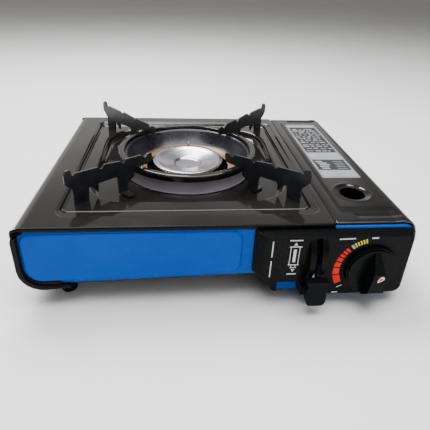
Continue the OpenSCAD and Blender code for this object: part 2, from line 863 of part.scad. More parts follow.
module igniter_lead() color([0.75, 0.2, 0.15]) {
    lead([
        [158, front_y + 14.6, 32],
        [158, front_y + 24, 24],
        [150, front_y + 60, 12],
        [100.5, front_y + 68, 11.5],
        [100, front_y + 250, 11.5],
        [86, front_y + 266, 11.8],
        [60, front_y + 266, 26],
        [20, front_y + 266, 34],
        [electrode_x, front_y + 230, 33],
        [electrode_x, electrode_y + 6, 30],
        [electrode_x, electrode_y, 39.8]
    ], 1.2);
}
module electrode_insulator() color([0.93, 0.92, 0.88]) {
    translate([electrode_x, electrode_y, 41])
        difference() {
            union() {
                cylinder(r = 2.2, h = 31);
                translate([0, 0, 6])
                    cylinder(r = 2.8, h = 4);
            }
            translate([0, 0, -1])
                cylinder(r = 0.7, h = 40);
        }
}
module electrode() color(steel) {
    translate([electrode_x, electrode_y, 41])
        cylinder(r = 0.7, h = 39);
    translate([electrode_x, electrode_y + 0.5, 80])
        rotate([90, 0, 0])
            cylinder(r = 0.7, h = 5.5);
}
module electrode_bracket() color(steel) {
    difference() {
        union() {
            box(electrode_x - 6, burner_y + 12, 35.6, electrode_x + 6, burner_y + 15, 36.8);
            box(electrode_x - 6, burner_y + 13.8, 35.6, electrode_x + 6, burner_y + 15, 46.8);
            box(electrode_x - 6, burner_y + 13.8, 45.6, electrode_x + 6, electrode_y + 6, 46.8);
        }
        translate([electrode_x, electrode_y, 44])
            cylinder(r = 2.2, h = 5);
    }
}

// ---- Control panel ----

module panel_plan(i) {
    polygon([
        [26 + i, panel_back + (i > 0 ? 1 : 0)],
        [34.5 + i, panel_front + i],
        [162 - i, panel_front + i],
        [169.6 - i, panel_back + (i > 0 ? 1 : 0)]
    ]);
}
module slot_ribs() {
    for (x = [lever_x - 4.9, lever_x + 4.9])
        bar_x(lever_y, lever_z, rib_r, x - 2.5, x + 2.5);
}
// The panel's solid, inset by i: its plan, cut to its front outline
module panel_block(i) {
    intersection() {
        translate([0, 0, panel_low - 5])
            linear_extrude(panel_top - panel_low + 10)
                panel_plan(i);
        along_y(panel_front - 1, panel_back + 2)
            polygon(rounded([
                [20, panel_top - i],
                [20, 36 + i, 2],
                [36, 27 + i, 3],
                [66 + i, 27 + i, 2],
                [69 + i, panel_low + i - 1, 2],
                [75 + i, panel_low + i, 3],
                [172 - i * 2, panel_low + i, 12],
                [172 - i * 2, panel_top - i]
            ]));
    }
}
module control_panel() color(plastic) {
    difference() {
        union() {
            difference() {
                panel_block(0);
                panel_block(panel_wall);
            }
            intersection() {
                slot_ribs();
                box(lever_x - 10, panel_front - 9, lever_z - 25, lever_x + 10, panel_front + 1, lever_z + 23);
            }
        }
        box(lever_x - 2.4, panel_front - 10, 16, lever_x + 2.4, panel_back + 2, lever_z + 23);
        bar_y(knob_x, knob_z, 4, panel_front - 1, panel_front + 4);
    }
}

// ---- Lock lever and cartridge pusher ----

function crank_point(a) = [lever_y + crank_r * cos(a), lever_z + crank_r * sin(a)];
module lock_lever() color(steel) {
    difference() {
        along_x(lever_x - lever_arm_t / 2, lever_x + lever_arm_t / 2)
            polygon(rounded([
                [lever_y + 5.5, lever_z - 5, 4],
                [lever_y + 5.5, lever_z + 4, 4],
                [lever_y - 0.5, lever_z + 13, 3],
                [lever_y - 8.5, lever_z + 10, 3],
                [lever_y - 6, lever_z + 1, 4],
                [lever_y - 41, lever_z - 24.5, 1],
                [lever_y - 41, lever_z - 32.5, 1],
                [lever_y - 37, lever_z - 33.5, 1]
            ], 4));
        bar_x(lever_y, lever_z, 2.05, lever_x - 5, lever_x + 5);
        bar_x(crank_point(crank_start)[0], crank_point(crank_start)[1], 2.05, lever_x - 5, lever_x + 5);
    }
}
module lever_handle() color(plastic) {
    difference() {
        union() {
            box(lever_x - 9.6, lever_y - 46.5, lever_z - 16, lever_x + 9.6, lever_y - 38.6, lever_z - 13);
            intersection() {
                along_x(lever_x - 10, lever_x + 10)
                    polygon(rounded([
                        [lever_y - 38.6, lever_z - 14],
                        [lever_y - 43.6, lever_z - 14, 1],
                        [lever_y - 47, lever_z - 39, 2],
                        [lever_y - 40.6, lever_z - 39, 2],
                        [lever_y - 39.4, lever_z - 26]
                    ], 4));
                along_y(lever_y - 60, lever_y - 20)
                    polygon(rounded([
                        [lever_x - 7.5, lever_z - 13],
                        [lever_x - 7.5, lever_z - 19, 2],
                        [lever_x - 8.8, lever_z - 22, 2],
                        [lever_x - 8.8, lever_z - 39, 7],
                        [lever_x + 8.8, lever_z - 39, 7],
                        [lever_x + 8.8, lever_z - 22, 2],
                        [lever_x + 7.5, lever_z - 19, 2],
                        [lever_x + 7.5, lever_z - 13]
                    ]));
            }
        }
        // The handle is moulded round the end of the steel lever
        box(lever_x - lever_arm_t / 2, lever_y - 41, lever_z - 34,
            lever_x + lever_arm_t / 2, lever_y - 30, lever_z - 15);
    }
}
module lever_bracket() color(steel) {
    difference() {
        union() {
            box(lever_x - 7.5, lever_y - 9, floor_deep, lever_x + 7.5, lever_y + 9, floor_deep + 1.5);
            for (x = [lever_x - 7.5, lever_x + 6]) {
                box(x, lever_y - 6, floor_deep, x + 1.5, lever_y + 6, lever_z);
                bar_x(lever_y, lever_z, 5, x, x + 1.5);
            }
        }
        bar_x(lever_y, lever_z, 2.05, lever_x - 10, lever_x + 10);
    }
}
module lever_pivot_pin() color(steel) {
    bar_x(lever_y, lever_z, 2, lever_x - 9, lever_x + 9);
}
module crank_pin() color(steel) {
    bar_x(crank_point(crank_start)[0], crank_point(crank_start)[1], 2, lever_x - 1.5, rail_x + 2.2);
}
module cartridge_pusher() color([0.66, 0.67, 0.7]) {
    slot_y = crank_point(crank_start)[0];
    difference() {
        union() {
            box(rail_x, front_y + 12, rail_low, rail_x + 1.2, pusher_y + 1.2, rail_top);
            box(rail_x, front_y + 12, lever_z + 5.4, rail_x + 1.2, front_y + 26, rail_low);
            box(rail_x, pusher_y, 14, 164, pusher_y + 1.2, rail_top);
        }
        box(rail_x - 1, slot_y - 2.3, lever_z + 4, rail_x + 3, slot_y + 2.3, lever_z + 12.5);
    }
}

base_pan();
front_panel();
top_cover();
heat_shield();
heat_plate();
cartridge_cradle();
control_panel();
lid();
lid_label();
lid_hinge_leaves();
lid_hinge_pins();
drip_tray();
support_ring();
leg_front_left();
leg_front_right();
leg_back_left();
leg_back_right();
leg_rivets();
burner_head();
burner_port_ring();
burner_cap();
burner_stand();
mixing_tube();
air_shutter();
jet_nozzle();
gas_pipe();
pipe_nuts();
regulator_body();
regulator_diaphragm();
regulator_spring();
regulator_cover();
regulator_screws();
cartridge_socket();
socket_seal();
valve_spindle();
igniter_cam();
knob();
piezo_igniter();
piezo_plunger();
igniter_lead();
electrode_insulator();
electrode();
electrode_bracket();
lock_lever();
lever_handle();
lever_bracket();
lever_pivot_pin();
crank_pin();
cartridge_pusher();
foot_front_left();
foot_front_right();
foot_back_left();
foot_back_right();
base_screws();
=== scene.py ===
"""Looks of the camping stove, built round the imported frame. Lengths in this file are in millimetres."""
import json
import math
import random

import bmesh
import bpy
from mathutils import Matrix, Vector
from mathutils.geometry import tessellate_polygon


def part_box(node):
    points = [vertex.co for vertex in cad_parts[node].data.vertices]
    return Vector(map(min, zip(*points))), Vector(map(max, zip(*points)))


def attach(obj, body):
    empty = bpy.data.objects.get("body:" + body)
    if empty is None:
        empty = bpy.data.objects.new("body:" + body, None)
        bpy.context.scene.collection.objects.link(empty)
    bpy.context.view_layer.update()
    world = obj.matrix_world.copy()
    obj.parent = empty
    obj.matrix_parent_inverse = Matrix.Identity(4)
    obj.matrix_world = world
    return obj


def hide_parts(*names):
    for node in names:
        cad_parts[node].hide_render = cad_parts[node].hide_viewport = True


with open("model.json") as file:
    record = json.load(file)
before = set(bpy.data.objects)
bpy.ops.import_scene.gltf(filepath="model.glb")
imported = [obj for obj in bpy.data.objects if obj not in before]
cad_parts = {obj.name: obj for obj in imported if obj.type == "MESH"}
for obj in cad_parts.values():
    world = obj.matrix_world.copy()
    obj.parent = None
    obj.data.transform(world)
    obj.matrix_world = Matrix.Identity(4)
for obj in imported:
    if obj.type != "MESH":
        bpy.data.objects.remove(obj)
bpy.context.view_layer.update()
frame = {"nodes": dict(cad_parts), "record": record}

MM = 0.001
scene = bpy.context.scene


# ---- Places, all worked out from the frame ----

def box_mm(node):
    low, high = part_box(node)
    return low / MM, high / MM


def middle(node):
    low, high = box_mm(node)
    return (low + high) / 2


cover_low, cover_high = box_mm("top_cover")
lid_low, lid_high = box_mm("lid")
tray_low, tray_high = box_mm("drip_tray")
panel_low, panel_high = box_mm("control_panel")
knob_low, knob_high = box_mm("knob")
label_low, label_high = box_mm("lid_label")
ring_low, ring_high = box_mm("support_ring")
burner = middle("burner_cap")
knob_axis = middle("valve_spindle")
lever_x = middle("lock_lever").x
top_z = cover_high.z
front_y = cover_low.y


# ---- Materials ----

class Paint:
    """A node material with helpers for procedural colour, roughness and bump."""

    def __init__(self, name, color, roughness=0.5, metallic=0.0, **sockets):
        self.mat = bpy.data.materials.new(name)
        self.mat.use_nodes = True
        self.tree = self.mat.node_tree
        self.shader = self.tree.nodes["Principled BSDF"]
        self.shader.inputs["Base Color"].default_value = (*color, 1)
        self.shader.inputs["Roughness"].default_value = roughness
        self.shader.inputs["Metallic"].default_value = metallic
        for key, value in sockets.items():
            self.shader.inputs[key.replace("_", " ")].default_value = value
        self.place = self.node("ShaderNodeTexCoord").outputs["Object"]
        self.mat.diffuse_color = (*color, 1)

    def node(self, kind, **values):
        made = self.tree.nodes.new(kind)
        for key, value in values.items():
            setattr(made, key, value)
        return made

    def link(self, source, target):
        self.tree.links.new(source, target)

    def noise(self, per_mm, detail=3.0, stretch=(1, 1, 1), rough=0.5):
        mapping = self.node("ShaderNodeMapping")
        mapping.inputs["Scale"].default_value = stretch
        texture = self.node("ShaderNodeTexNoise")
        texture.inputs["Scale"].default_value = per_mm / MM
        texture.inputs["Detail"].default_value = detail
        texture.inputs["Roughness"].default_value = rough
        self.link(self.place, mapping.inputs["Vector"])
        self.link(mapping.outputs["Vector"], texture.inputs["Vector"])
        return texture.outputs["Fac"]

    def ramp(self, value, stops):
        """A colour ramp over value, from stops (place, colour)."""
        made = self.node("ShaderNodeValToRGB")
        elements = made.color_ramp.elements
        while len(elements) < len(stops):
            elements.new(0.5)
        for element, (place, color) in zip(elements, stops):
            element.position = place
            element.color = (*color, 1)
        self.link(value, made.inputs["Fac"])
        return made.outputs["Color"]

    def spread(self, value, low, high):
        """A noise value stretched to run from low to high."""
        made = self.node("ShaderNodeMapRange")
        made.inputs["From Min"].default_value = 0.3
        made.inputs["From Max"].default_value = 0.7
        made.inputs["To Min"].default_value = low
        made.inputs["To Max"].default_value = high
        self.link(value, made.inputs["Value"])
        return made.outputs["Result"]

    def color(self, value, stops):
        self.link(self.ramp(value, stops), self.shader.inputs["Base Color"])

    def roughness(self, value, low, high):
        self.link(self.spread(value, low, high), self.shader.inputs["Roughness"])

    def bump(self, value, height_mm, strength=1.0):
        made = self.node("ShaderNodeBump")
        made.inputs["Distance"].default_value = height_mm * MM
        made.inputs["Strength"].default_value = strength
        self.link(value, made.inputs["Height"])
        self.link(made.outputs["Normal"], self.shader.inputs["Normal"])


def enamel():
    p = Paint("enamel_black", (0.012, 0.012, 0.012), 0.16, Coat_Weight=0.2, Coat_Roughness=0.06)
    p.color(p.noise(0.012, 4), [(0.35, (0.006, 0.0055, 0.005)), (0.65, (0.012, 0.011, 0.010))])
    p.roughness(p.noise(0.05, 5), 0.07, 0.13)
    p.bump(p.noise(0.1, 2), 0.02)
    return p.mat


def casing_paint():
    p = Paint("casing_black", (0.004, 0.004, 0.0042), 0.3, Specular_IOR_Level=0.08)
    p.color(p.noise(0.02, 4), [(0.3, (0.003, 0.003, 0.0032)), (0.7, (0.005, 0.005, 0.0053))])
    p.roughness(p.noise(0.08, 4), 0.24, 0.36)
    p.bump(p.noise(0.5, 2), 0.02)
    return p.mat


def blue_paint():
    p = Paint("paint_blue", (0.0, 0.082, 0.44), 0.26, Specular_IOR_Level=0.05)
    p.color(p.noise(0.015, 4), [(0.3, (0.0, 0.066, 0.40)), (0.7, (0.0, 0.078, 0.44))])
    p.roughness(p.noise(0.08, 4), 0.2, 0.3)
    p.bump(p.noise(0.12, 2), 0.004)
    return p.mat


def moulded(name, color, low, high, grain=0.005, per_mm=0.7):
    p = Paint(name, color, (low + high) / 2, Specular_IOR_Level=0.06)
    darker = tuple(c * 0.85 for c in color)
    lighter = tuple(c * 1.2 for c in color)
    p.color(p.noise(0.03, 3), [(0.3, darker), (0.7, lighter)])
    p.roughness(p.noise(0.25, 4), low, high)
    p.bump(p.noise(per_mm, 2), grain)
    return p.mat


def support_enamel():
    p = Paint("support_enamel", (0.008, 0.009, 0.011), 0.38)
    p.color(p.noise(0.06, 5), [(0.3, (0.006, 0.0065, 0.008)), (0.7, (0.014, 0.015, 0.018))])
    p.roughness(p.noise(0.12, 4), 0.30, 0.46)
    p.bump(p.noise(0.7, 3), 0.03)
    return p.mat


def metal(name, color, low, high, stretch=(1, 1, 1), per_mm=0.6, height=0.01):
    p = Paint(name, color, (low + high) / 2, 1.0)
    darker = tuple(c * 0.86 for c in color)
    lighter = tuple(min(1, c * 1.08) for c in color)
    p.color(p.noise(0.02, 4), [(0.3, darker), (0.7, lighter)])
    p.roughness(p.noise(per_mm, 4, stretch), low, high)
    p.bump(p.noise(per_mm, 4, stretch), height)
    return p.mat


MATERIALS = {
    "enamel_black": enamel(),
    "paint_black": casing_paint(),
    "paint_blue": blue_paint(),
    "panel_plastic": moulded("panel_plastic", (0.003, 0.0033, 0.0035), 0.24, 0.34),
    "knob_plastic": moulded("knob_plastic", (0.0025, 0.003, 0.003), 0.22, 0.34),
    "handle_plastic": moulded("handle_plastic", (0.003, 0.0035, 0.004), 0.34, 0.46),
    "support_enamel": support_enamel(),
    "zinc_steel": metal("zinc_steel", (0.55, 0.56, 0.58), 0.28, 0.45),
    "burner_metal": metal("burner_metal", (0.50, 0.50, 0.52), 0.4, 0.55),
    "polished_steel": metal("polished_steel", (0.66, 0.66, 0.69), 0.12, 0.24, height=0.004),
    "brass": metal("brass", (0.62, 0.44, 0.17), 0.22, 0.36),
    "rubber_black": moulded("rubber_black", (0.012, 0.012, 0.012), 0.7, 0.85, 0.04),
    "white_plastic": moulded("white_plastic", (0.62, 0.60, 0.54), 0.4, 0.55),
    "lead_red": moulded("lead_red", (0.38, 0.02, 0.015), 0.35, 0.5),
    "ceramic_white": moulded("ceramic_white", (0.74, 0.72, 0.66), 0.15, 0.3),
    "label_film": moulded("label_film", (0.19, 0.19, 0.2), 0.3, 0.42),
    "aluminium": metal("aluminium", (0.72, 0.73, 0.74), 0.3, 0.5, stretch=(0.1, 1, 1)),
}


def paint(obj, material):
    obj.data.materials.clear()
    obj.data.materials.append(material)


# ---- The CAD nodes: softened edges and their own materials ----

def soften(obj, width, segments=2):
    """Rounds the sharp edges of a piece by width."""
    weld = obj.modifiers.new("weld", "WELD")
    weld.merge_threshold = 0.005 * MM
    bevel = obj.modifiers.new("bevel", "BEVEL")
    bevel.width = width * MM
    bevel.segments = segments
    bevel.limit_method = "ANGLE"
    bevel.angle_limit = math.radians(32)
    bevel.harden_normals = False
    normals = obj.modifiers.new("normals", "WEIGHTED_NORMAL")
    normals.keep_sharp = True


for part in frame["record"]["subparts"]:
    paint(frame["nodes"][part["node"]], MATERIALS[part["material_slot"]])

# The parts seen through the finger hole get a near-black steel instead of their own bright metal: painted
# shade for the dark inside of the casing
steel_darkened_for_shade = metal("steel_darkened_for_shade", (0.07, 0.07, 0.075), 0.5, 0.65)
for node in ("cartridge_socket", "regulator_body", "regulator_cover", "heat_plate"):
    paint(frame["nodes"][node], steel_darkened_for_shade)

edge_widths = {"leg_front_left": 0.35, "leg_front_right": 0.35, "leg_back_left": 0.35, "leg_back_right": 0.35,
               "lever_handle": 0.8, "knob": 0.6, "base_pan": 0.3, "lock_lever": 0.3}
for node, width in edge_widths.items():
    soften(frame["nodes"][node], width)


# ---- Mesh kit ----

def piece(name, verts, faces, body, slot, replaces=(), smooth_angle=32, material=None):
    """A mesh piece from points in millimetres, riding on a body."""
    mesh = bpy.data.meshes.new(name)
    mesh.from_pydata([Vector(v) * MM for v in verts], [], faces)
    made = bmesh.new()
    made.from_mesh(mesh)
    bmesh.ops.remove_doubles(made, verts=made.verts, dist=0.002 * MM)
    bmesh.ops.recalc_face_normals(made, faces=made.faces)
    made.to_mesh(mesh)
    made.free()
    mesh.shade_smooth()
    mesh.set_sharp_from_angle(angle=math.radians(smooth_angle))
    obj = bpy.data.objects.new(name, mesh)
    scene.collection.objects.link(obj)
    paint(obj, material or MATERIALS[slot])
    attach(obj, body)
    if replaces:
        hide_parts(*replaces)
    return obj


def rounded(points, steps=6):
    """Closed outline from corners (u, v) or (u, v, radius), where a radius makes an arc."""
    outline = []
    for i, corner in enumerate(points):
        here = Vector(corner[:2])
        if len(corner) == 2:
            outline.append(here)
            continue
        u = (Vector(points[i - 1][:2]) - here).normalized()
        v = (Vector(points[(i + 1) % len(points)][:2]) - here).normalized()
        half = u.angle(v) / 2
        centre = here + (u + v).normalized() * corner[2] / math.sin(half)
        start = here + u * corner[2] / math.tan(half) - centre
        end = here + v * corner[2] / math.tan(half) - centre
        sweep = math.atan2(start.x * end.y - start.y * end.x, start.dot(end))
        for k in range(steps + 1):
            a = sweep * k / steps
            outline.append(centre + Vector((start.x * math.cos(a) - start.y * math.sin(a),
                                            start.x * math.sin(a) + start.y * math.cos(a))))
    return outline


def inset(corners, d):
    """Corners (u, v, radius) moved inwards by d, with their radii kept concentric."""
    count = len(corners)
    area = sum(corners[i - 1][0] * corners[i][1] - corners[i][0] * corners[i - 1][1] for i in range(count))
    turn = 1 if area > 0 else -1
    moved = []
    for i, (x, y, r) in enumerate(corners):
        here = Vector((x, y))
        before = (here - Vector(corners[i - 1][:2])).normalized()
        after = (Vector(corners[(i + 1) % count][:2]) - here).normalized()
        n = turn * Vector((-before.y, before.x))
        m = turn * Vector((-after.y, after.x))
        place = here + (n + m) * d / (1 + n.dot(m))
        convex = turn * (before.x * after.y - before.y * after.x) > 0
        moved.append((place.x, place.y, max(0.3, r - d if convex else r + d)))
    return moved


def rect(x0, y0, x1, y1, r, steps=8):
    """Outline of a rectangle with rounded corners."""
    return rounded([(x0, y0, r), (x1, y0, r), (x1, y1, r), (x0, y1, r)], steps)


def at_height(outline, z):
    """An outline seen from above, (x, y), at height z."""
    return [Vector((p.x, p.y, z)) for p in outline]


def facing_y(outline, y):
    """An outline seen from the front, (x, z), at depth y."""
    return [Vector((p.x, y, p.y)) for p in outline]


def loft(loops, cap_start=False, cap_end=False):
    """Points and faces of a surface through closed loops with equal counts."""
    count = len(loops[0])
    verts = [p for loop in loops for p in loop]
    faces = []
    for i in range(len(loops) - 1):
        for k in range(count):
            n = (k + 1) % count
            faces.append((i * count + k, i * count + n, (i + 1) * count + n, (i + 1) * count + k))
    if cap_start:
        faces.append(tuple(range(count - 1, -1, -1)))
    if cap_end:
        faces.append(tuple(range((len(loops) - 1) * count, len(loops) * count)))
    return verts, faces


def circle(r, z, count, turn=0.0, centre=None):
    """A level circle round centre, or round the burner."""
    c = burner if centre is None else centre
    angles = [turn + math.tau * k / count for k in range(count)]
    return [Vector((c.x + r * math.cos(a), c.y + r * math.sin(a), z)) for a in angles]


def circle_xz(x, y, z, r, count=32):
    """An upright circle that faces the front."""
    angles = [math.tau * k / count for k in range(count)]
    return [Vector((x + r * math.cos(a), y, z + r * math.sin(a))) for a in angles]


def lathe(profile, count=96):
    """Closed profile (r, z) turned round the burner's axis."""
    loops = [circle(r, z, count) for r, z in profile]
    return loft(loops + loops[:1])


def thicken(obj, thickness):
    """Gives a skin its sheet thickness, inwards."""
    made = obj.modifiers.new("thickness", "SOLIDIFY")
    made.thickness = thickness * MM
    made.offset = -1
    made.use_even_offset = True
    return obj


def flatten(obj):
    """Shades large flat faces as flat, with their rounded edges blending in."""
    normals = obj.modifiers.new("normals", "WEIGHTED_NORMAL")
    normals.keep_sharp = True
    return obj


def cut(obj, verts, faces):
    """Cuts a closed shape out of a piece."""
    mesh = bpy.data.meshes.new("cutter")
    mesh.from_pydata([Vector(v) * MM for v in verts], [], faces)
    tool = bpy.data.objects.new("cutter", mesh)
    scene.collection.objects.link(tool)
    made = obj.modifiers.new("cut", "BOOLEAN")
    made.operation = "DIFFERENCE"
    made.solver = "EXACT"
    made.object = tool
    settle(obj)
    bpy.data.objects.remove(tool)
    return obj


def settle(obj):
    """Applies all modifiers to the mesh."""
    depsgraph = bpy.context.evaluated_depsgraph_get()
    mesh = bpy.data.meshes.new_from_object(obj.evaluated_get(depsgraph))
    obj.modifiers.clear()
    obj.data = mesh
    mesh.set_sharp_from_angle(angle=math.radians(32))
    return obj


def ease(value, low, high):
    """0 below low, 1 above high, and a smooth step between."""
    t = min(1, max(0, (value - low) / (high - low)))
    return t * t * (3 - 2 * t)


def quarter(steps):
    """Angles of a quarter turn."""
    return [math.pi / 2 * k / steps for k in range(steps + 1)]


def round_burner(half, r, z, steps):
    """A level rounded square round the burner, reaching half to each side."""
    return at_height(rect(burner.x - half, burner.y - half, burner.x + half, burner.y + half, r, steps), z)


# ---- Top cover ----

sheet = 1.0
recess = (tray_low.x - 3.4, front_y + 17.5, 89, front_y + 261)
moat_half = 97
moat_r = 40
collar_r = 71


def grown(box, d):
    """A box (x0, y0, x1, y1) made larger by d on every side."""
    return box[0] - d, box[1] - d, box[2] + d, box[3] + d


def cover_loop(pulled_in, heights):
    """Outline of the cover, pulled in at its left, front and back, and right, at the height of each side."""
    left, front, right = pulled_in
    z_left, z_front, z_back, z_right = heights
    steps = 6
    outline = rect(cover_low.x + left, front_y + front, cover_high.x - right, cover_high.y - front,
                   2.5, steps)
    sides = [z_left, z_front, z_right, z_back, z_left]
    loop = []
    for i, p in enumerate(outline):
        corner, k = divmod(i, steps + 1)
        a = math.pi / 2 * k / steps
        z = sides[corner] * math.cos(a) ** 2 + sides[corner + 1] * math.sin(a) ** 2
        loop.append(Vector((p.x, p.y, z)))
    return loop


def top_cover():
    """Pressed cover: rolled edges, a recess with a step in it, and the square opening for the burner."""
    roll_in = (11, 1.6, 1.2)
    roll_down = (9, 1.6, 1.2)
    loops = [cover_loop((0, 0, 0), (69, top_z - 3.7, 69, 74))]
    for a in quarter(8):
        pulled_in = [r * (1 - math.cos(a)) for r in roll_in]
        left, front, right = [top_z - r * (1 - math.sin(a)) for r in roll_down]
        loops.append(cover_loop(pulled_in, (left, front, front, right)))
    step_z = top_z - 1.5
    floor_z = top_z - 4.1
    for grow, z in ((1.0, top_z), (0.4, top_z - 0.15), (-0.2, top_z - 0.75),
                    (-0.8, step_z + 0.15), (-1.5, step_z)):
        loops.append(at_height(rect(*grown(recess, grow), 12 + grow, 6), z))
    well = (tray_low.x - 1.5, tray_low.y - 1.7, tray_high.x + 1.5, tray_high.y + 1.5)
    for grow, z in ((0.9, step_z), (0.25, step_z - 0.25), (0, step_z - 0.9),
                    (-0.2, floor_z + 0.3), (-0.9, floor_z)):
        loops.append(at_height(rect(*grown(well, grow), 6 + grow, 6), z))
    opening = moat_half + 1.5
    for grow, z in ((0.6, floor_z), (0.1, floor_z - 0.4), (0, floor_z - 3)):
        loops.append(round_burner(opening + grow, moat_r + 1.5, z, 6))
    made = piece("top_cover_shell", *loft(loops), "casing", "enamel_black", ["top_cover"])
    # The front lip gets the darker, duller casing paint instead of the enamel: painted shade in place of the
    # dark reflection on the lip
    made.data.materials.append(MATERIALS["paint_black"])
    for face in made.data.polygons:
        if face.center.y < (front_y + 1.5) * MM:
            face.material_index = 1
    return flatten(thicken(made, sheet))


# ---- Drip tray ----

def square_to_round(half, r, radius, share, z, steps):
    """A loop between a rounded square and a circle round the burner."""
    square = round_burner(half, r, z, steps)
    count = len(square)
    ring = circle(radius, z, count, math.pi + math.pi / count)
    return [p.lerp(q, share) for p, q in zip(square, ring)]


def moat_loops(plate_z, shoulder, moat_z, steps):
    """Rounded shoulder and wall of the square moat, and its floor running into the circle of the collar."""
    loops = []
    for a in quarter(5):
        inwards = (2 * math.sin(a) - 1) * shoulder / 2
        z = plate_z - shoulder * (1 - math.cos(a))
        loops.append(round_burner(moat_half - inwards, moat_r - inwards, z, steps))
    wall_run = 6
    for a in quarter(6)[1:]:
        inwards = shoulder / 2 + wall_run * (1 - math.cos(a))
        z = plate_z - shoulder - (plate_z - shoulder - moat_z) * math.sin(a)
        loops.append(round_burner(moat_half - inwards, moat_r - inwards, z, steps))
    floor_half = moat_half - shoulder / 2 - wall_run
    floor_r = moat_r - shoulder / 2 - wall_run
    for share in (0.35, 0.7, 1):
        loops.append(square_to_round(floor_half, floor_r, collar_r + 2, share, moat_z, steps))
    return loops


def collar_profile(moat_z):
    """Section (r, z) up the collar's outside, over its rounded top and down the bowl to the burner."""
    hump = tray_high.z
    outside = [(0.8, 0.5), (0.4, 1.8), (0.2, 3.2), (0, 3.6)]
    over = [(0.2, 2.2), (0.7, 0.9), (1.8, 0.1), (3.2, 0), (4.6, 0.6), (5.8, 2)]
    bowl = [(9, 7), (13, 12), (16.5, 15.6), (20, 17.4), (23.5, 18), (25, 18)]
    return ([(collar_r + out, moat_z + up) for out, up in outside]
            + [(collar_r - inwards, hump - down) for inwards, down in over + bowl])


def drip_tray():
    """Tray plate with a rolled edge, the moat and the collar with its bowl."""
    plate_z = top_z - 3
    moat_z = top_z - 12
    steps = 23
    loops = []
    for inwards, up in ((1.2, -0.9), (0.4, -0.8), (0, -0.2), (0.1, 0.6),
                        (0.6, 1), (1.2, 0.8), (1.8, 0.1), (2.6, 0)):
        plate = grown((tray_low.x, tray_low.y, tray_high.x, tray_high.y), -inwards)
        loops.append(at_height(rect(*plate, 5, steps), plate_z + up))
    loops += moat_loops(plate_z, 3, moat_z, steps)
    count = len(loops[0])
    loops += [circle(r, z, count, math.pi + math.pi / count) for r, z in collar_profile(moat_z)]
    made = piece("drip_tray_pressing", *loft(loops), "drip_tray", "enamel_black", ["drip_tray"])
    made.data.materials.append(collar_steel_and_painted_sheen())
    made.data.materials.append(bowl_steel())
    for face in made.data.polygons:
        r = math.hypot(face.center.x / MM - burner.x, face.center.y / MM - burner.y)
        if r < collar_r - 1:
            face.material_index = 2
        # Faces high on the collar's wall get the light lilac steel, which is partly bare steel and partly
        # painted reflection
        elif r < collar_r + 0.6 and face.center.z > (moat_z + 2) * MM:
            face.material_index = 1
    return flatten(thicken(made, 0.8))


def collar_steel_and_painted_sheen():
    """Bare steel of the collar, lightened to a lilac grey: painted reflection of the moat and of the flame's
    violet glow on its wall.
    """
    p = Paint("collar_steel_and_painted_sheen", (0.36, 0.33, 0.38), 0.4, 0.2)
    p.color(p.noise(0.03, 4), [(0.3, (0.31, 0.285, 0.325)), (0.7, (0.42, 0.385, 0.44))])
    p.roughness(p.noise(0.2, 4), 0.3, 0.44)
    p.bump(p.noise(0.3, 3), 0.01)
    return p.mat


def bowl_steel():
    """Dark enamel that burns back to straw-coloured metal low down, near the flames."""
    p = Paint("bowl_steel", (0.02, 0.018, 0.02), 0.3, 0.25)
    burnt = p.ramp(p.noise(0.018, 4), [(0.3, (0.10, 0.055, 0.03)), (0.5, (0.24, 0.14, 0.07)),
                                       (0.7, (0.30, 0.20, 0.12))])
    enamelled = p.ramp(p.noise(0.02, 4), [(0.3, (0.007, 0.0065, 0.009)), (0.7, (0.018, 0.016, 0.022))])
    height = p.node("ShaderNodeSeparateXYZ")
    p.link(p.place, height.inputs["Vector"])
    level = p.node("ShaderNodeMapRange")
    level.inputs["From Min"].default_value = (tray_high.z - 18) * MM
    level.inputs["From Max"].default_value = (tray_high.z - 15) * MM
    p.link(height.outputs["Z"], level.inputs["Value"])
    mix = p.node("ShaderNodeMix", data_type="RGBA")
    p.link(level.outputs["Result"], mix.inputs["Factor"])
    p.link(burnt, mix.inputs[6])
    p.link(enamelled, mix.inputs[7])
    p.link(mix.outputs[2], p.shader.inputs["Base Color"])
    p.roughness(p.noise(0.2, 4), 0.2, 0.34)
    p.bump(p.noise(0.1, 3), 0.006)
    return p.mat


# ---- Burner cap ----

def burner_cap():
    """Dished cap with a round dimple in the middle."""
    base = box_mm("burner_cap")[0].z
    gauge = 0.9
    dish = [(0, gauge), (12.4, gauge), (13.6, 1.1), (14.4, 1.6), (15.0, 2.4), (15.7, 2.9), (17, 3.2),
            (29, 5.9), (31.5, 6.6), (33.4, 7.5), (34.6, 7.9)]
    brim = [(36, 8), (38.4, 8), (38.9, 7.8), (39, 7.4), (39, 7.1)]
    below = [(r, z - gauge) for r, z in reversed(dish)]
    cap_steel = metal("cap_steel", (0.62, 0.60, 0.64), 0.2, 0.25, per_mm=0.3, height=0.001)
    profile = [(r, base + z) for r, z in dish + brim + below]
    piece("burner_cap_dish", *lathe(profile), "casing", "polished_steel", ["burner_cap"],
          smooth_angle=60, material=cap_steel)


# ---- Front panel ----

pan_half = -box_mm("base_pan")[0].x
step_x = 38
belly_run = 8
deep_z = 8


def under(x):
    """Height of the casing's underside left of the cartridge bay."""
    return 21 + 7 * (x + pan_half) / (step_x + pan_half)


def front_corners(left, top):
    """Corners (x, z, radius) of the casing's front, with the left end moved to left."""
    return [(left, top, 8), (left, under(-pan_half) + 1, 18), (step_x, under(step_x), 5),
            (step_x + belly_run, deep_z, 6), (pan_half, deep_z, 12), (pan_half, top, 11)]


def filled(outer, *holes):
    """Points and triangles of a flat area between an outline and the holes in it."""
    rings = [list(outer)] + [list(hole) for hole in holes]
    return [p for ring in rings for p in ring], tessellate_polygon(rings)


def joined(*parts):
    """Several lists of points and faces as one."""
    verts, faces = [], []
    for some_verts, some_faces in parts:
        base = len(verts)
        verts += list(some_verts)
        faces += [tuple(i + base for i in face) for face in some_faces]
    return verts, faces


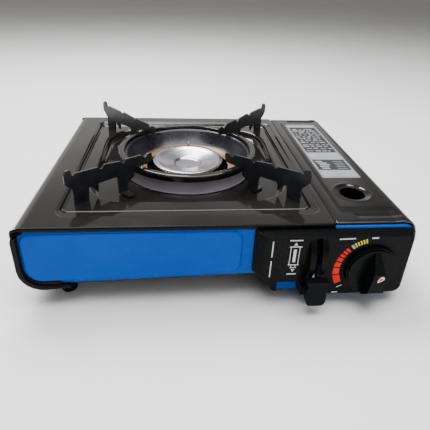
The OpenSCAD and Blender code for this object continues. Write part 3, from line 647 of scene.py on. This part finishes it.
def front_panel():
    """Blue skin, rolled back all round, with a soft raised field on the left."""
    skin_y = front_y + 1.4
    roll = 2.2
    corners = front_corners(-pan_half + 2.6, top_z - 3.6)
    loops = [facing_y(rounded(corners), skin_y + 6)]
    for a in quarter(5):
        outline = rounded(inset(corners, roll * (1 - math.cos(a))))
        loops.append(facing_y(outline, skin_y + roll * (1 - math.sin(a))))
    left, right, top = -pan_half + 4.8, 17, top_z - 5.8
    field = [(left, top, 8), (left, under(left) + 4.2, 15), (right, under(right) + 3.4, 11), (right, top, 9)]
    field_rise = 2.2
    steps = 8
    rise = []
    for k in range(steps + 1):
        t = k / steps
        rise.append(facing_y(rounded(inset(field, 2.6 * t), 10), skin_y - field_rise * ease(t, 0, 1)))
    slot = facing_y(rounded([(lever_x - 6, 73, 2), (lever_x - 6, 15, 2), (lever_x + 6, 15, 2),
                             (lever_x + 6, 73, 2)]), skin_y)
    shaft = circle_xz(knob_axis.x, skin_y, knob_axis.z, 7)
    skin = filled(loops[-1], rise[0], slot, shaft)
    made = piece("front_skin", *joined(loft(loops), skin, loft(rise, cap_end=True)),
                 "casing", "paint_blue", ["front_panel"], smooth_angle=40)
    return flatten(thicken(made, 0.8))


def frame_rim():
    """Black rolled rim of the base round the lower left of the front."""
    left, top = cover_low.x + 0.2, top_z - 4.2
    end = box_mm("foot_front_left")[1].x + 1
    width = 4.8
    band = [(left, top, 9), (left, under(left) - 4.5, 20),
            (end, under(end) - 1.6, 1.2), (end, under(end) + 1.2, 1.2),
            (left + width, under(left) + 1.2, 16), (left + width, top - 2.8, 7), (left + 12, top, 0.4)]
    roll = 1.1
    loops = [facing_y(rounded(band), front_y + 3)]
    for a in quarter(4):
        outline = rounded(inset(band, roll * (1 - math.cos(a))))
        loops.append(facing_y(outline, front_y - 0.8 - roll * math.sin(a)))
    flatten(piece("frame_rim", *loft(loops, True, True), "casing", "paint_black"))


def lip_gap_shadow_strip():
    """Black strip behind the top edge of the control panel, put in the gap to the front lip as painted
    shadow.
    """
    left, right = panel_low.x + 1, cover_high.x - 0.5
    near, far = front_y - 0.1, front_y + 1.2
    outline = rounded([(left, near), (left, far), (right, far), (right, near)])
    loops = [at_height(outline, z) for z in (74, 76.2)]
    piece("lip_gap_shadow_strip", *loft(loops, True, True), "casing", "paint_black")


# ---- Lid ----

lid_r = 12
hinge = middle("lid_hinge_pins")
hinge_r = 2.9
hole_x = 131.5
hole_y = front_y + 55.8
hole_r = 12.2


def lid_height(x, y):
    """Pressed relief of the lid's top: raised field, front bead, slit at the back, dished finger hole."""
    back = y - front_y
    field = ease(x, 106, 109.5) * ease(back, 20, 30) * (1 - ease(back, 262, 266))
    edge = 1 - ease(x, 150, 160)
    z = top_z - (1 - field) * (edge * 0.85 + 0.15)
    bead = ease(x, 117, 121) * math.exp(-((back - 14.5) / 2.6) ** 2)
    slit = ease(x, 118, 121) * (1 - ease(x, 160, 163)) * math.exp(-((back - 270) / 1.6) ** 2)
    d = math.hypot(x - hole_x, y - hole_y)
    dish = 1 - ease(d, hole_r + 0.6, hole_r + 5.8)
    rim = math.exp(-((d - hole_r - 5.6) / 1.2) ** 2)
    return z - 0.8 * bead - 1.2 * slit - 1.5 * dish + 0.25 * rim


def spread_values(low, high, step, *dense):
    """Grid lines from low to high, step apart, and closer in the dense stretches (from, to, step)."""
    values = [low]
    while values[-1] < high - 0.01:
        gap = step
        for start, end, fine in dense:
            if start <= values[-1] < end:
                gap = min(gap, fine)
            elif values[-1] < start:
                gap = min(gap, start - values[-1])
        values.append(min(high, values[-1] + gap))
    return values


def lid_section():
    """Points (x, z) across the lid from left to right, where z is None on the pressed relief."""
    left, right = lid_low.x, lid_high.x
    lip = 1.4
    start = top_z - 1 - lip
    section = [(left, top_z - 4.5), (left, start)]
    section += [(left + lip * (1 - math.cos(a)), start + lip * math.sin(a)) for a in quarter(4)[1:-1]]
    xs = spread_values(left + lip, right - lid_r, 6, (105, 123, 0.9), (hole_x - 20, hole_x + 20, 1.0))
    section += [(x, None) for x in xs]
    section += [(right - lid_r * (1 - math.sin(a)), top_z - lid_r * (1 - math.cos(a)))
                for a in quarter(10)[1:]]
    return section + [(right, 60), (right, hinge.z + 3)]


def lid_rows():
    """Rows (y, drop) from front to back, where drop is how far the rolled ends lie below the top."""
    y0, y1 = lid_low.y, lid_high.y
    roll = 1.1
    back_roll = 2
    rows = [(y0, 2.3)]
    rows += [(y0 + roll * (1 - math.cos(a)), roll * (1 - math.sin(a))) for a in quarter(4)]
    ys = spread_values(y0 + roll, y1 - back_roll, 8, (front_y + 8, front_y + 31, 0.9),
                       (hole_y - 20, hole_y + 20, 1.0), (front_y + 260, y1 - back_roll, 0.9))
    rows += [(y, 0) for y in ys[1:]]
    rows += [(y1 - back_roll * (1 - math.sin(a)), back_roll * (1 - math.cos(a))) for a in quarter(5)[1:]]
    return rows + [(y1, 8)]


def lid():
    """Pressed lid as a grid of rows and sections, with the finger hole cut through."""
    right, back = lid_high.x, lid_high.y
    corner = 9
    section = lid_section()
    rows = lid_rows()
    verts = []
    for y, drop in rows:
        past = max(0, y - (back - corner))
        plan = corner - math.sqrt(max(0, corner ** 2 - past ** 2))
        for x, z in section:
            if z is None:
                z = lid_height(x, min(y, back - 4))
            shoulder = max(0, (x - right) / lid_r + 1)
            verts.append((x - (drop + plan) * shoulder, y, z - drop * (1 - shoulder)))
    wide = len(section)
    faces = []
    for i in range(len(rows) - 1):
        # The back flange starts one point in, clear of the left lip
        for k in range(1 if i == len(rows) - 2 else 0, wide - 1):
            faces.append((i * wide + k, i * wide + k + 1, (i + 1) * wide + k + 1, (i + 1) * wide + k))
    made = piece("lid_pressing", verts, faces, "lid", "enamel_black", ["lid"], smooth_angle=45)
    settle(thicken(made, sheet))
    centre = Vector((hole_x, hole_y, 0))
    cut(made, *loft([circle(hole_r, z, 72, 0, centre) for z in (70, 90)], True, True))


def lid_knuckles():
    """Rolled knuckles on the lid's edge, either side of each hinge leaf."""
    parts = []
    low, high = box_mm("lid_hinge_pins")
    pin_l = 28
    bore_r = 1.6
    width = 7.4
    for start in (low.y, high.y - pin_l):
        for y0 in (start, start + pin_l - width):
            y1 = y0 + width
            tube = [(y0, bore_r), (y0, hinge_r), (y1, hinge_r), (y1, bore_r), (y0, bore_r)]
            parts.append(loft([circle_xz(hinge.x, y, hinge.z, r) for y, r in tube]))
            tab = rounded([(lid_high.x - sheet, y0), (lid_high.x, y0),
                           (lid_high.x, y1), (lid_high.x - sheet, y1)])
            parts.append(loft([at_height(tab, z) for z in (hinge.z, hinge.z + 3.6)], True, True))
    piece("lid_knuckles", *joined(*parts), "lid", "enamel_black")


# ---- Control panel ----

panel_face = panel_low.y + 6.5


def control_panel():
    """Moulded shell with sloping sides, cut through for the lever."""
    back = [(panel_low.x, panel_high.z, 1), (panel_low.x, 33, 2), (37, 27, 3), (66, 27, 2), (69, 11.6, 2),
            (75, 12.2, 3), (panel_high.x, 12.2, 12), (panel_high.x, panel_high.z, 7)]
    face = [(34.5, 74.2, 1), (34.5, 30.5, 2), (39, 27.6, 3), (66.6, 27.6, 2), (69.6, 12.2, 2),
            (75, 12.8, 3), (162, 12.8, 7), (162, 74.2, 4)]
    wall = 2.2
    behind = facing_y(rounded(back), panel_high.y)
    edge = facing_y(rounded(face), panel_face)
    loops = [facing_y(rounded(inset(face, wall)), panel_face + wall),
             facing_y(rounded(inset(back, wall)), panel_high.y),
             behind,
             [a.lerp(b, 0.94) for a, b in zip(behind, edge)],
             facing_y(rounded(inset(face, 0.25)), panel_face + 0.2),
             facing_y(rounded(inset(face, 0.8)), panel_face)]
    made = piece("control_fascia", *loft(loops, True, True), "casing", "panel_plastic", ["control_panel"])
    slot = rounded([(lever_x - 2.4, panel_face - 9), (lever_x + 2.4, panel_face - 9),
                    (lever_x + 2.4, panel_high.y + 3), (lever_x - 2.4, panel_high.y + 3)])
    cut(made, *loft([at_height(slot, 16), at_height(slot, 73)], True, True))
    shaft = [circle_xz(knob_axis.x, y, knob_axis.z, 4) for y in (panel_high.y + 3, panel_face - 3)]
    cut(made, *loft(shaft, True, True))
    flatten(made)
    slot_rib("slot_rib_left", lever_x - 4.9)
    slot_rib("slot_rib_right", lever_x + 4.9)


def slot_rib(name, middle_x):
    """Curved rib beside the lever's slot, round the lever's pivot."""
    pivot = middle("lever_pivot_pin")
    section = [(-2.5, 33), (-2.5, 39), (-2.1, 39.5), (2.1, 39.5), (2.5, 39), (2.5, 33)]
    start, sweep, steps = -42, 78, 32
    loops = []
    for k in range(steps + 1):
        a = math.radians(start + sweep * k / steps)
        loops.append([Vector((middle_x + x, pivot.y - r * math.cos(a), pivot.z + r * math.sin(a)))
                      for x, r in section])
    piece(name, *loft(loops, True, True), "casing", "panel_plastic")


def flat_mark(outline):
    """A thin raised mark on the panel's face from an outline (x, z)."""
    return loft([facing_y(outline, panel_face + 0.05), facing_y(outline, panel_face - 0.15)], True, True)


def stripe(x0, z0, x1, z1, width):
    """A straight line of the given width between two points of the panel's face."""
    along = Vector((x1 - x0, z1 - z0)).normalized() * width / 2
    side = Vector((-along.y, along.x))
    return flat_mark([Vector((x0, z0)) - side, Vector((x1, z1)) - side, Vector((x1, z1)) + side,
                      Vector((x0, z0)) + side])


def arc_mark(start, end, inner, outer):
    """A piece of the knob's scale between two angles in degrees."""
    steps = max(2, round(abs(end - start) / 3))
    angles = [math.radians(start + (end - start) * k / steps) for k in range(steps + 1)]
    ring = [(outer, a) for a in angles] + [(inner, a) for a in reversed(angles)]
    middle_x = knob_axis.x - 2
    return flat_mark([Vector((middle_x + r * math.cos(a), knob_axis.z + r * math.sin(a))) for r, a in ring])


def print_ink(name, color):
    return moulded(name, color, 0.35, 0.5, 0.004)


def printed(name, marks, ink, color):
    """One printed colour of the control panel as a piece."""
    piece(name, *joined(*marks), "casing", "panel_plastic", material=print_ink(ink, color))


def knob_scale():
    """Flow scale round the knob: red blocks that get shorter, a grey one and yellow ticks."""
    outer = 32.3
    first, last = 209.0, 136
    span, gap = 17.5, 2.2
    shortest = 4.2
    red = []
    at = first
    while at > last:
        inner = 27.8 - (at - 131) / 78 * 1.6
        red.append(arc_mark(at, at - span, inner, outer))
        at -= span + gap
        span = max(shortest, span * 0.74)
    printed("scale_red", red, "ink_red", (0.72, 0.02, 0.012))
    printed("scale_grey", [arc_mark(129.5, 125.5, 28, outer)], "ink_grey", (0.35, 0.35, 0.35))
    yellow = [arc_mark(a, a - 2.2, 28.2, 32.5) for a in (123.5, 119, 114.5, 110, 105.5)]
    printed("scale_yellow", yellow, "ink_yellow", (0.72, 0.62, 0.04))


def panel_print():
    """Plain white bars where the words would be, and the cartridge symbol beside the lever."""
    bars = [stripe(123.8, 72.4, 129.6, 72.6, 1.3), stripe(95.5, 72, 109.5, 72.4, 1.1),
            stripe(98, 14.6, 103.5, 14.8, 0.9), stripe(101.6, 20.6, 106.2, 22.8, 0.7)]
    cartridge = [stripe(54.0, 65.2, 64.6, 65.2, 0.9), stripe(55.2, 47, 55.2, 65, 0.55),
                 stripe(62.8, 47, 62.8, 65, 0.55), stripe(54.4, 46.6, 63.6, 46.6, 0.8),
                 stripe(56.3, 43.6, 61.7, 43.6, 0.6), stripe(57.2, 43.9, 57.2, 46.4, 0.5),
                 stripe(60.8, 43.9, 60.8, 46.4, 0.5), stripe(59, 49.5, 59, 62.5, 2.4)]
    arrows = [flat_mark([Vector((57.4, base)), Vector((60.6, base)), Vector((59, tip))])
              for base, tip in ((66.8, 69.6), (42.0, 39.2))]
    side_bars = [stripe(53.5, 71.6, 64.5, 71.6, 1.0), stripe(54.5, 36.8, 62.5, 36.8, 1.0),
                 stripe(39.6, 55, 39.6, 71, 0.9), stripe(39.6, 34, 39.6, 51, 0.9)]
    printed("panel_print", bars + cartridge + arrows + side_bars, "ink_white", (0.62, 0.62, 0.6))


def drop_outline(centre, size):
    """A leaning drop, narrower at its lower left, 7.2 long at size 1."""
    tilt = math.radians(48)
    outline = []
    for k in range(28):
        a = math.tau * k / 28
        along = 3.6 * math.cos(a)
        across = 1.9 * math.sin(a) * (1 + 0.5 * math.cos(a))
        outline.append(centre + size * Vector((along * math.cos(tilt) - across * math.sin(tilt),
                                               along * math.sin(tilt) + across * math.cos(tilt))))
    return outline


def knob_mark():
    """Small drop-shaped mark on the knob's grip: a white rim and a red core."""
    face_y = knob_low.y
    centre = Vector((knob_axis.x + 1.6, knob_axis.z + 0.8))
    for name, size, ink, lift in (("knob_mark_rim", 1.0, (0.75, 0.73, 0.7), 0.10),
                                  ("knob_mark_core", 0.55, (0.7, 0.03, 0.015), 0.16)):
        outline = drop_outline(centre, size)
        piece(name, *loft([facing_y(outline, face_y + 0.3), facing_y(outline, face_y - lift)], True, True),
              "knob", "knob_plastic", material=print_ink(name + "_ink", ink))


# ---- Label ----

def plate(x0, y0, x1, y1, thick, radius=0.4):
    """A thin plate with rounded corners on the label."""
    outline = rect(x0, y0, x1, y1, radius, 3)
    return loft([at_height(outline, label_low.z), at_height(outline, label_low.z + thick)], True, True)


def label():
    """Silvery film with plain light and dark fields and blocks where the print would be."""
    x0, y0, x1, y1 = label_low.x, label_low.y, label_high.x, label_high.y
    film, field, block = 0.12, 0.16, 0.2
    margin = 2.6
    left, right = x0 + margin, x1 - margin
    length = y1 - y0

    def fields(*stretches):
        return [plate(left, y0 + length * start, right, y0 + length * end, field) for start, end in stretches]

    piece("label_sheet", *plate(x0, y0, x1, y1, film, 2), "lid", "label_film", ["lid_label"])
    dark = fields((0.115, 0.275), (0.405, 0.925))
    piece("label_dark", *joined(*dark), "lid", "label_film",
          material=print_ink("ink_slate", (0.035, 0.035, 0.038)))
    pale = fields((0.02, 0.105), (0.285, 0.395), (0.935, 0.985))
    blocks = random.Random(4)
    y = y0 + length * 0.425
    while y < y0 + length * 0.90:
        x = left + blocks.uniform(1, 4)
        while x < right - 4:
            wide = blocks.uniform(2.5, 8)
            pale.append(plate(x, y, min(right - 1, x + wide), y + blocks.uniform(1.6, 3.4), block))
            x += wide + blocks.uniform(1.0, 3.5)
        y += 5.6 + blocks.uniform(0, 2.2)
    for k in range(5):
        y = y0 + length * 0.13 + k * 4.6
        x = left + blocks.uniform(2, 5)
        pale.append(plate(x, y, x + blocks.uniform(8, 13), y + 2.8, block))
        pale.append(plate(right - 14, y + 0.6, right - 3, y + 1.5, block))
    piece("label_pale", *joined(*pale), "lid", "label_film",
          material=print_ink("ink_pale", (0.24, 0.245, 0.25)))


top_cover()
drip_tray()
burner_cap()
front_panel()
frame_rim()
lip_gap_shadow_strip()
lid()
lid_knuckles()
label()
control_panel()
knob_scale()
panel_print()
knob_mark()


# ---- Camera, light and floor ----

def camera():
    """Camera at the photograph's viewing angle, with a slight roll."""
    yaw, pitch, roll = (math.radians(a) for a in (6.59, 27.12, 2.69))
    look = Vector((math.sin(yaw) * math.cos(pitch), math.cos(yaw) * math.cos(pitch), -math.sin(pitch)))
    right = Vector((math.cos(yaw), -math.sin(yaw), 0))
    up = right.cross(look)
    side = math.cos(roll) * right + math.sin(roll) * up
    above = -math.sin(roll) * right + math.cos(roll) * up
    data = bpy.data.cameras.new("camera")
    data.sensor_width = 36
    data.lens = 33.84
    data.shift_x = -0.0093
    data.shift_y = -0.0747
    obj = bpy.data.objects.new("camera", data)
    scene.collection.objects.link(obj)
    turn = Matrix((side, above, -look)).transposed().to_4x4()
    obj.matrix_world = Matrix.Translation((-0.03844, -0.40372, 0.26266)) @ turn
    scene.camera = obj


def area_light(name, place, size, power):
    """A soft rectangular light that looks at the stove."""
    data = bpy.data.lights.new(name, "AREA")
    data.shape = "RECTANGLE"
    data.size, data.size_y = size
    data.energy = power
    obj = bpy.data.objects.new(name, data)
    scene.collection.objects.link(obj)
    obj.location = place
    obj.rotation_mode = "QUATERNION"
    obj.rotation_quaternion = (Vector((0, 0, 0.05)) - Vector(place)).to_track_quat("-Z", "Y")


def falloff(tree, source, start, end, low, high):
    """A smooth step of the world's brightness along one direction."""
    made = tree.nodes.new("ShaderNodeMapRange")
    made.interpolation_type = "SMOOTHSTEP"
    for key, value in (("From Min", start), ("From Max", end), ("To Min", low), ("To Max", high)):
        made.inputs[key].default_value = value
    tree.links.new(source, made.inputs["Value"])
    return made.outputs["Result"]


def product(tree, first, second):
    made = tree.nodes.new("ShaderNodeMath")
    made.operation = "MULTIPLY"
    tree.links.new(first, made.inputs[0])
    tree.links.new(second, made.inputs[1])
    return made.outputs["Value"]


def surroundings():
    """Warm white world: dark in front, bright low down at the back, darker higher up and far to the right."""
    world = bpy.data.worlds.new("studio")
    scene.world = world
    world.use_nodes = True
    tree = world.node_tree
    around = tree.nodes.new("ShaderNodeSeparateXYZ")
    tree.links.new(tree.nodes.new("ShaderNodeTexCoord").outputs["Generated"], around.inputs["Vector"])
    to_back = falloff(tree, around.outputs["Y"], -0.5, 0.3, 0.12, 0.85)
    upwards = falloff(tree, around.outputs["Z"], 0.3, 0.6, 1.0, 0.3)
    to_right = falloff(tree, around.outputs["X"], 0.36, 0.46, 1.0, 0.3)
    background = tree.nodes["Background"]
    background.inputs["Color"].default_value = (1.0, 0.985, 0.965, 1)
    tree.links.new(product(tree, product(tree, to_back, upwards), to_right), background.inputs["Strength"])


def studio():
    """Lights above and behind, a weak one in front, and a wide pale floor."""
    area_light("key", (-0.35, 0.55, 1.15), (0.9, 0.7), 30)
    area_light("overhead", (0.1, -0.25, 1.5), (1.6, 0.9), 34)
    area_light("fill", (0.5, -1.0, 0.9), (1.2, 1.2), 5)
    reach = 12
    corners = [(-reach, -reach, 0), (reach, -reach, 0), (reach, reach, 0), (-reach, reach, 0)]
    floor = bpy.data.meshes.new("floor")
    floor.from_pydata(corners, [], [(0, 1, 2, 3)])
    obj = bpy.data.objects.new("floor", floor)
    scene.collection.objects.link(obj)
    p = Paint("floor_pale", (0.86, 0.86, 0.85), 0.8)
    p.color(p.noise(0.004, 3), [(0.3, (0.84, 0.84, 0.83)), (0.7, (0.88, 0.88, 0.87))])
    paint(obj, p.mat)


camera()
surroundings()
studio()
